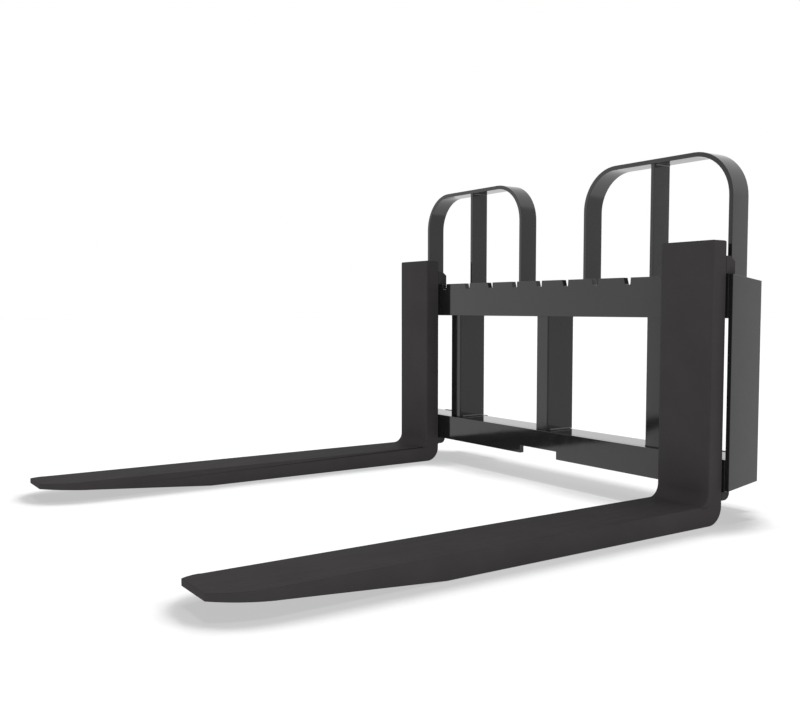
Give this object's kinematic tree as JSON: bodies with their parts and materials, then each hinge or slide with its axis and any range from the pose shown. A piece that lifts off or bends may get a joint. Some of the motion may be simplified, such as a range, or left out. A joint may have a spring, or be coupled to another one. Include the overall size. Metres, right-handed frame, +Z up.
{
  "type": "pallet fork attachment",
  "caption": "Fork carriage with notched upper bar, lower bar, end plates, sliding hook-on forks with latch pins, and bent guard hoops above.",
  "frame": {"origin": "bottom centre of the whole attachment with the forks at their widest, on the ground under the blades", "axes": "+X across the carriage to the right seen from the fork tips, the forks point to -Y, +Z up"},
  "size_m": [1.095, 1.219, 0.747],
  "materials": {
    "frame_paint": "smooth dark charcoal paint, semi-gloss",
    "guard_paint": "smooth dark charcoal paint, satin",
    "fork_paint": "warm near-black paint over forged steel, satin",
    "zinc": "zinc plated",
    "spring_steel": "drawn spring wire",
    "black_oxide": "black oxide"
  },
  "bodies": {
    "carriage": {"top_bar": "frame_paint", "bottom_bar": "frame_paint", "top_rail": "frame_paint", "bottom_rail": "frame_paint", "end_plate_left": "frame_paint", "end_plate_right": "frame_paint", "upright_left": "frame_paint", "upright_centre": "frame_paint", "upright_right": "frame_paint", "coupler_saddle": "frame_paint", "wedge_plate_left": "frame_paint", "wedge_plate_right": "frame_paint", "gusset_left_inner": "frame_paint", "gusset_left_outer": "frame_paint", "gusset_right_inner": "frame_paint", "gusset_right_outer": "frame_paint", "guard_hoop_left": "guard_paint", "guard_hoop_right": "guard_paint", "guard_post_left": "guard_paint", "guard_post_right": "guard_paint"},
    "left_fork": {"fork_left": "fork_paint", "upper_hook_left": "fork_paint", "lower_hook_left": "fork_paint", "latch_bridge_left": "fork_paint", "latch_spring_left": "spring_steel", "detent_screw_left": "black_oxide"},
    "right_fork": {"fork_right": "fork_paint", "upper_hook_right": "fork_paint", "lower_hook_right": "fork_paint", "latch_bridge_right": "fork_paint", "latch_spring_right": "spring_steel", "detent_screw_right": "black_oxide"},
    "left_latch": {"latch_pin_left": "zinc", "latch_tab_left": "zinc"},
    "right_latch": {"latch_pin_right": "zinc", "latch_tab_right": "zinc"}
  },
  "joints": [
    {"name": "left_fork_slide", "type": "slide", "parent": "carriage", "child": "left_fork", "axis": [1, 0, 0], "range_m": [0, 0.38]},
    {"name": "right_fork_slide", "type": "slide", "parent": "carriage", "child": "right_fork", "axis": [-1, 0, 0], "range_m": [0, 0.38]},
    {"name": "left_latch_drop", "type": "slide", "parent": "left_fork", "child": "left_latch", "axis": [0, 0, -1], "range_m": [0, 0.012], "deforming": ["latch_spring_left"]},
    {"name": "right_latch_drop", "type": "slide", "parent": "right_fork", "child": "right_latch", "axis": [0, 0, -1], "range_m": [0, 0.012], "deforming": ["latch_spring_right"]}
  ]
}
